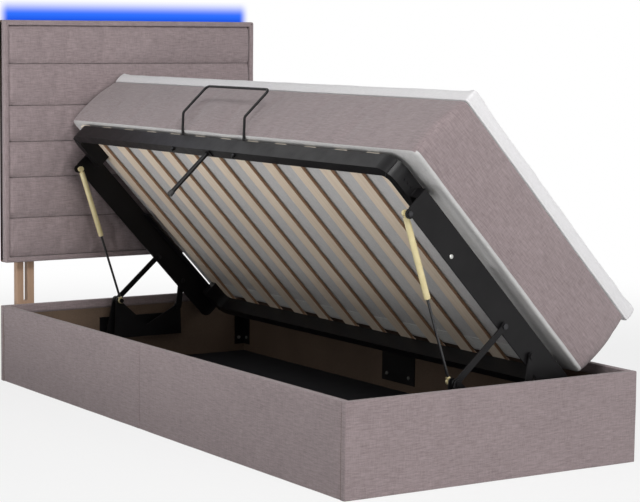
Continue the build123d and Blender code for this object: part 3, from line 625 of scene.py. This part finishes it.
# Lift at both ends: steel arms, short links and gas struts. The struts have an enamelled cream
# tube, a black rod and a cream eye at the base.
cream_dark = (0.58, 0.48, 0.22, 1)
cream_light = (0.80, 0.70, 0.42, 1)
base_pivot = (-0.085, 0.0, 0.263)
eye_reach = 0.0143
rod_black = (0.012, 0.012, 0.013, 1)
dress(powder, "lift_arm_head", "lift_arm_foot", "rear_link_head", "rear_link_foot")

# Enamel: a tone that is a little darker where it has been handled, and the paint's fine peel.
enamel, start, end = effect("enamel", {"Place": "Vector"}, {"Tone": "Float", "Height": "Float"})
enamel.links.new(shade(enamel, "TexNoise", start["Place"], None, 45.0, 4.0), end["Tone"])
enamel.links.new(shade(enamel, "TexNoise", start["Place"], None, 500.0, 2.0), end["Height"])

cream, tree, shader = plain_material("cream_enamel", 0.28, Coat_Weight=0.4, Coat_Roughness=0.2)
paint = use(tree, enamel, Place=object_place(tree))
colour = blended(tree, paint["Tone"], cream_dark, cream_light)
connect(tree, shader, colour, paint["Height"], 0.0001, 0.3)
dress(cream, "strut_tube_head", "strut_tube_foot")
rod_steel, tree, shader = plain_material("rod_with_cream_eye", 0.3, Coat_Weight=0.3, Coat_Roughness=0.2)
place = object_place(tree, shift=[-value for value in base_pivot])
flat = shade(tree, "Mapping", place, None, None, (1, 0, 1))
away = shade(tree, "VectorMath", flat, operation="LENGTH", output=1)
past_eye = shade(tree, "Math", away, eye_reach, operation="GREATER_THAN")
paint = use(tree, enamel, Place=place)
colour = blended(tree, paint["Tone"], cream_dark, cream_light)
connect(tree, shader, blended(tree, past_eye, colour, rod_black), paint["Height"], 0.0001, 0.3)
dress(rod_steel, "strut_rod_head", "strut_rod_foot")


# Lid frame: black rectangular tube with mitred and welded corner returns, deep end plates with a
# zinc rivet each, and a bent retainer rod. The lid's own axes start at the top of the slats on the
# hinge edge: X comes from the free side, Y runs along and Z up through the mattress.
lid_turn = math.radians(47.09)
lid_edge = (0.3568, 0.2347)
weld_radius = 0.0024
weld_scale = 0.0034
rivet_radius = 0.0055
rivet_across, rivet_up = -0.586, -0.0835
rivet_root, rivet_tip = 0.9645, 0.969
flange_weld_start, flange_weld_end = -0.065, -0.104
tab_across, tab_face, tab_low, tab_high = -0.7825, 0.9315, -0.052, -0.024
foot_black = (0.010, 0.010, 0.010, 1)
foot_grey = (0.022, 0.022, 0.022, 1)


def on_lid(points):
    """Turns points in the lid's own axes by lid_turn about Y and moves them to the open lid."""
    x, y, z = np.asarray(points, float).T
    cosine, sine = math.cos(lid_turn), math.sin(lid_turn)
    return np.column_stack([lid_edge[0] + x * cosine + z * sine, y, lid_edge[1] - x * sine + z * cosine])


def bead(path, radius, sides=8):
    """A weld bead: a round tube along straight runs. Its radius swells by a cosine once every
    weld_scale, and narrows almost to a point at both ends."""
    path = np.asarray(path, float)
    lengths = np.append(0, np.cumsum(np.linalg.norm(np.diff(path, axis=0), axis=1)))
    steps = np.linspace(0, lengths[-1], max(12, int(lengths[-1] / weld_scale * 4)))
    line = np.column_stack([np.interp(steps, lengths, path[:, axis]) for axis in range(3)])
    way = np.gradient(line, axis=0)
    way /= np.linalg.norm(way, axis=1)[:, None]
    side = np.cross(way, [0.31, 0.47, 0.83])
    side /= np.linalg.norm(side, axis=1)[:, None]
    other = np.cross(way, side)
    swell = 1 + 0.18 * np.cos(2 * math.pi * steps / weld_scale)
    swell *= np.sqrt(np.clip(1 - (2 * steps / lengths[-1] - 1) ** 10, 0.0004, 1))
    turn = np.linspace(0, 2 * math.pi, sides, endpoint=False)
    ring = np.cos(turn)[None, :, None] * side[:, None] + np.sin(turn)[None, :, None] * other[:, None]
    points = line[:, None] + radius * swell[:, None, None] * ring
    return points.reshape(-1, 3), quads(len(steps), sides, close_columns=True)[:, ::-1]


def joined(parts):
    """Puts several meshes' points and squares into one."""
    counts = np.cumsum([0] + [len(points) for points, squares in parts])
    squares = np.concatenate([squares + count for (points, squares), count in zip(parts, counts)])
    return np.concatenate([points for points, squares in parts]), squares


rail_face, rail_free, rail_hinge = 0.930, 0.890, 0.005
rail_low, rail_high, corner_radius, rail_width = -0.060, -0.010, 0.055, 0.030
flange_low = -0.0268
beads = []
diagonal = math.sqrt(0.5)
for sy in (-1, 1):
    for edge, inward in ((-rail_free, 1), (-rail_hinge, -1)):
        centre = np.array([edge + inward * corner_radius, sy * (rail_face - corner_radius)])
        way = np.array([-inward, sy]) * diagonal
        outer = centre + way * corner_radius
        inner = centre + way * (corner_radius - rail_width)
        beads.append([(*inner, rail_low), (*outer, rail_low), (*outer, rail_high)])
    face = sy * (rail_face + 0.001)
    beads.append([(flange_weld_start, face, flange_low), (flange_weld_end, face, flange_low)])
    beads.append([(tab_across, sy * tab_face, tab_low), (tab_across, sy * tab_face, tab_high)])
points, squares = joined([bead(path, weld_radius) for path in beads])
piece = surface("frame_welds", on_lid(points), squares, body="lid")
piece.data.materials.append(powder)
rivets = [
    [(rivet_across, sy * rivet_root, rivet_up), (rivet_across, sy * rivet_tip, rivet_up)] for sy in (-1, 1)
]
points, squares = joined([bead(path, rivet_radius, 16) for path in rivets])
piece = surface("plate_rivets", on_lid(points), squares, body="lid")
piece.data.materials.append(zinc)
dress(powder, "lid_free_rail", "lid_hinge_rail", "lid_head_rail", "lid_foot_rail")
dress(powder, "lid_end_plate_head", "lid_end_plate_foot", "mattress_retainer", "support_leg")
foot_plastic, tree, shader = plain_material("foot_plastic", 0.6)
grain = shade(tree, "TexNoise", object_place(tree), None, 800.0, 2.0)
connect(tree, shader, blended(tree, grain, foot_black, foot_grey), grain, 0.0001, 0.4)
dress(foot_plastic, "support_foot")


# Slats: bent birch and beech ply, pale on the faces, with ply stripes on the edges, whose browner, darker
# tone is painted shade on the slats' sides. The slats are tied by a white webbing tape.
slat_thickness = 0.010
ply_count = 5
slat_end = -0.8815
slat_face_dark = (0.68, 0.53, 0.39, 1)
slat_face_light = (0.93, 0.82, 0.68, 1)
# Edge tones: the plies' own stripes, darkened and browned as painted shade on the slats' sides.
slat_edge_ply_and_shade_dark = (0.26, 0.135, 0.068, 1)
slat_edge_ply_and_shade_light = (0.50, 0.31, 0.185, 1)
slat_end_pale = (0.88, 0.80, 0.68, 1)
slat_skin = 0.0004
tape_dark = (0.5, 0.5, 0.48, 1)
tape_light = (0.8, 0.8, 0.78, 1)


def lid_place(tree):
    """Object coordinates turned back into the lid's own axes."""
    moved = object_place(tree, shift=(-lid_edge[0], 0, -lid_edge[1]))
    return shade(tree, "Mapping", moved, None, (0, -lid_turn, 0))


slat_ply, tree, shader = plain_material("slat_ply", 0.5)
place = lid_place(tree)
grain = stretched_noise(tree, place, (3, 160, 160), 3.0, 0.6)
pores = stretched_noise(tree, place, (30, 1400, 1400), 2.0)
boards = stretched_noise(tree, place, (0.2, 6.5, 0.2), 0.0)
tone = weighted(tree, (grain, 0.9), (pores, 0.4), (boards, 0.6))
face = blended(tree, tone, slat_face_dark, slat_face_light)
height = shade(tree, "SeparateXYZ", place, output=2)
plies = shade(tree, "Math", height, ply_count / slat_thickness, operation="MULTIPLY")
layer = shade(tree, "Math", plies, operation="FRACT")
line = shade(tree, "Math", layer, 0.5, operation="GREATER_THAN")
# Edge colour: real ply stripes and grain between the two edge tones, which carry the painted shade of the
# sides.
edge = blended(tree, weighted(tree, (line, 0.4), (grain, 0.8)), slat_edge_ply_and_shade_dark, slat_edge_ply_and_shade_light)
below = shade(tree, "Math", height, -slat_skin, operation="LESS_THAN")
above = shade(tree, "Math", height, slat_skin - slat_thickness, operation="GREATER_THAN")
between = shade(tree, "Math", below, above, operation="MULTIPLY")
# The slats' ends keep a pale tone like the faces, without the painted shade of the sides.
across = shade(tree, "SeparateXYZ", place)
at_end = shade(tree, "Math", across, slat_end, operation="LESS_THAN")
edge = blended(tree, at_end, edge, slat_end_pale)
connect(tree, shader, blended(tree, between, face, edge), grain, 0.0001, 0.3)
dress(slat_ply, "slats")
webbing, tree, shader = plain_material("white_webbing", 0.85)
ribs = stretched_noise(tree, lid_place(tree), (700, 60, 1))
connect(tree, shader, blended(tree, ribs, tape_dark, tape_light), ribs, 0.0003, 0.5)
dress(webbing, "slat_tape")


# Mattress: springs and foam in a sewn cover, linen round the sides and pale ticking above and
# below, with a pinched seam low on the sides. On the tilted lid its top has slumped towards the
# hinge, and its long sides lean in above the middle.
mattress_size = np.array([0.878, 1.996, 0.214])
mattress_low = 0.0015
mattress_gap = 0.024
mattress_slump = 0.008
mattress_corner = 0.020
mattress_roll = 0.008
mattress_side_draw, mattress_waist = 0.040, 0.39
mattress_end_draw = 0.012
mattress_seam_rise = 0.0115
mattress_free_seam = 0.004
cover_waves, cover_puckers, seam_pinch, seam_width = 0.0010, 0.0007, 0.0013, 0.0016
ticking_dark = (0.44, 0.435, 0.43, 1)
ticking_light = (0.66, 0.65, 0.645, 1)


def soft_block(size, corner, roll, fine, coarse, seam_rise, seed, side_draw, waist, end_draw):
    """A sewn block about the origin: a rounded box whose long sides come in by side_draw times the
    square of the height share above waist, and its ends by end_draw times that above the middle,
    with soft relief, and puckers that fade away from a seam at seam_rise above its bottom."""
    half = size / 2
    lines = [stations(size[axis], fine, coarse, corner) for axis in range(2)]
    rise = stations(size[2], roll / 4, coarse / 2, roll)
    lines.append(np.unique(np.append(rise, seam_rise + np.array([-0.0015, 0, 0.0015]) - half[2]).round(7)))
    points, squares, cloth, facing = block_grid(lines)
    points = rounded(points, half, corner, roll)
    share = points[:, 2] / size[2] + 0.5
    points[:, 0] *= 1 - side_draw * (share - waist) ** 2 / half[0]
    points[:, 1] *= 1 - end_draw * (share - 0.5) ** 2 / half[1]
    edge = half - np.abs(points)
    side = np.exp(-np.minimum(edge[:, 0], edge[:, 1]) / 0.02)
    seam = np.exp(-edge[:, 2] / 0.022) * side
    way = points[:, :2] / np.maximum(np.linalg.norm(points[:, :2], axis=1), 1e-9)[:, None]
    relief = cover_waves * unevenness(points, 0.22, seed) * side
    relief += cover_puckers * seam * unevenness(points * [1, 1, 0.3], 0.035, seed + 1)
    at_seam = np.exp(-((points[:, 2] + half[2] - seam_rise) / seam_width) ** 2) * side
    points[:, :2] += way * (relief - seam_pinch * at_seam)[:, None]
    return points, squares, cloth, facing


ticking = woven(
    "pale_ticking", pitch=0.0013, slub=60, dark=ticking_dark, light=ticking_light, distance=0.0004, sheen=0.1
)
half = mattress_size / 2
points, squares, cloth, facing = soft_block(
    mattress_size, mattress_corner, mattress_roll, fine=0.005, coarse=0.022,
    seam_rise=mattress_seam_rise, seed=90,
    side_draw=mattress_side_draw, waist=mattress_waist, end_draw=mattress_end_draw,
)
placed = points + [-mattress_gap - half[0], 0, mattress_low + half[2]]
placed[:, 0] += mattress_slump * (points[:, 2] / mattress_size[2] + 0.5)
piece = surface("mattress_cover", on_lid(placed), squares, cloth, body="lid")
piece.data.materials.append(linen)
piece.data.materials.append(ticking)
seam = np.where(facing == 0, mattress_free_seam, mattress_seam_rise)
pale = (facing == 2) | (points[squares].mean(axis=1)[:, 2] < seam - half[2])
piece.data.polygons.foreach_set("material_index", pale.astype(np.int32))
rim = half[2] - np.abs(points[:, 2]) < mattress_roll * 1.2
swollen(piece, rim, pressure=1.5, slack=0.004, cap=0.004)
softened(piece)
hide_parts("mattress")


# Topper: a thin foam layer in a white stretch cover that lies on the mattress, set in a little
# from its sides.
topper_size = np.array([0.865, 1.990, 0.045])
topper_low = 0.2158
topper_gap = 0.015
topper_corner, topper_roll, topper_draw, topper_seam_rise = 0.009, 0.004, 0.005, 0.006
topper_white = (0.84, 0.83, 0.84, 1)
topper_shade = (0.68, 0.67, 0.68, 1)
knit = woven(
    "white_knit", pitch=0.0015, slub=90, dark=topper_shade, light=topper_white, distance=0.0004, sheen=0.1
)
half = topper_size / 2
points, squares, cloth, _ = soft_block(
    topper_size, topper_corner, topper_roll, fine=0.004, coarse=0.022,
    seam_rise=topper_seam_rise, seed=95, side_draw=topper_draw, waist=0.5, end_draw=topper_draw,
)
placed = points + [-topper_gap - half[0], 0, topper_low + half[2]]
piece = surface("topper_cover", on_lid(placed), squares, cloth, body="lid")
piece.data.materials.append(knit)
swollen(piece, points[:, 2] < 0.3 * half[2], pressure=1.0, slack=0.006, cap=0.006)
softened(piece)
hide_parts("topper")


# Room: a pale floor, a soft card of blue light behind the light strip, broad lamps and the camera.
def stage_sheet(name, corners):
    """One flat square that isn't part of the bed."""
    mesh = bpy.data.meshes.new(name)
    mesh.from_pydata(corners, [], [(0, 1, 2, 3)])
    sheet = bpy.data.objects.new(name, mesh)
    bpy.context.scene.collection.objects.link(sheet)
    return sheet


def emptied(owner):
    """The node tree of a material or world, with nothing in it yet."""
    owner.use_nodes = True
    owner.node_tree.nodes.clear()
    return owner.node_tree


def seen_directly(tree):
    """1 for what the camera and mirror-like reflections see and 0 for the light on the bed, and all
    the sockets that tell the rays apart."""
    rays = tree.nodes.new("ShaderNodeLightPath").outputs
    seen = shade(tree, "Math", rays["Is Camera Ray"], rays["Is Glossy Ray"], operation="MAXIMUM")
    return seen, rays


floor_reach = 30
shadow_start, shadow_end, near_share = 1.6, 4.2, 0.74
floor = stage_sheet("floor", [
    (-floor_reach, -floor_reach, 0),
    (floor_reach, -floor_reach, 0),
    (floor_reach, floor_reach, 0),
    (-floor_reach, floor_reach, 0),
])
pale = bpy.data.materials.new("pale_floor")
tree = emptied(pale)
seen, _ = seen_directly(tree)
spot = shade(tree, "TexCoord", output=3)
away = shade(tree, "VectorMath", spot, operation="LENGTH", output=1)
share = shade(
    tree, "MapRange", away, shadow_start, shadow_end, near_share, 1.0, interpolation_type="SMOOTHSTEP"
)
share = shade(tree, "Math", seen, share, operation="MULTIPLY")
matt = shade(tree, "BsdfDiffuse", (0.86, 0.86, 0.86, 1))
bright = shade(tree, "Emission", (1, 1, 1, 1), 1.0)
out = tree.nodes.new("ShaderNodeOutputMaterial")
tree.links.new(shade(tree, "MixShader", share, matt, bright), out.inputs["Surface"])
floor.data.materials.append(pale)

glow_blue = (0.030, 0.165, 1.0, 1)
glow_deep = (0.010, 0.085, 0.76, 1)
glow_low, glow_solid, glow_top = 1.233, 1.255, 1.311
glow_half_width, glow_fade = 0.503, 0.045
card_half_width, card_place, card_top = 0.52, 1.054, glow_top + 0.01
card = stage_sheet("light_glow", [
    (-card_half_width, card_place, glow_low),
    (card_half_width, card_place, glow_low),
    (card_half_width, card_place, card_top),
    (-card_half_width, card_place, card_top),
])
haze = bpy.data.materials.new("blue_haze")
tree = emptied(haze)
spot = tree.nodes.new("ShaderNodeSeparateXYZ")
tree.links.new(tree.nodes.new("ShaderNodeTexCoord").outputs["Object"], spot.inputs[0])
rise = shade(
    tree, "MapRange", spot.outputs[2], glow_solid, glow_top, 1.0, 0.0, interpolation_type="SMOOTHSTEP"
)
side = shade(tree, "Math", spot.outputs[0], operation="ABSOLUTE")
end_start = glow_half_width - glow_fade
ends = shade(
    tree, "MapRange", side, end_start, glow_half_width, 1.0, 0.0, interpolation_type="SMOOTHSTEP"
)
amount = shade(tree, "Math", rise, ends, operation="MULTIPLY")
clear = shade(tree, "BsdfTransparent")
near = shade(tree, "MapRange", spot.outputs[2], glow_low, glow_solid, 0.0, 1.0)
lit = shade(tree, "Emission", blended(tree, near, glow_deep, glow_blue), 1.0)
out = tree.nodes.new("ShaderNodeOutputMaterial")
tree.links.new(shade(tree, "MixShader", amount, clear, lit), out.inputs["Surface"])
card.data.materials.append(haze)

world = bpy.data.worlds.new("studio")
bpy.context.scene.world = world
world_level = 0.29
tree = emptied(world)
seen, rays = seen_directly(tree)
seen = shade(tree, "Math", seen, rays["Is Transmission Ray"], operation="MAXIMUM")
level = shade(tree, "MapRange", seen, 0.0, 1.0, world_level, 1.0)
out = tree.nodes.new("ShaderNodeOutputWorld")
tree.links.new(shade(tree, "Background", (1, 1, 1, 1), level), out.inputs["Surface"])


def lamp(name, place, aim, size, power):
    """A broad square lamp that points at a place."""
    light = bpy.data.lights.new(name, "AREA")
    light.shape, light.size, light.energy = "SQUARE", size, power
    stand = bpy.data.objects.new(name, light)
    way = np.array(aim, float) - place
    flat = math.hypot(way[0], way[1])
    stand.location = place
    stand.rotation_euler = (math.atan2(flat, -way[2]), 0, math.atan2(way[1], way[0]) - math.pi / 2)
    bpy.context.scene.collection.objects.link(stand)


lamp("key_lamp", (-1.2, -3.6, 4.3), (0, 0, 0.4), 1.5, 138)
lamp("front_lamp", (1.0, -24.0, 4.2), (0, 0, 0.6), 6.5, 1250)
lamp("low_lamp", (-4.5, -0.8, 0.7), (0, 0, 0.6), 2.0, 24)
lamp("floor_lamp", (-2.3, 0.5, 0.03), (-2.3, 0.5, 3.0), 2.0, 42)

camera = bpy.data.cameras.new("camera")
camera.lens = 114.119
camera.sensor_width = 36
camera.shift_x = 0.125
stand = bpy.data.objects.new("camera", camera)
stand.location = (-3.4031, -5.2763, 1.2048)
stand.rotation_euler = (math.radians(83.798), math.radians(-0.405), math.radians(-31.415))
bpy.context.scene.collection.objects.link(stand)
bpy.context.scene.camera = stand
bpy.context.scene.view_settings.view_transform = "Standard"
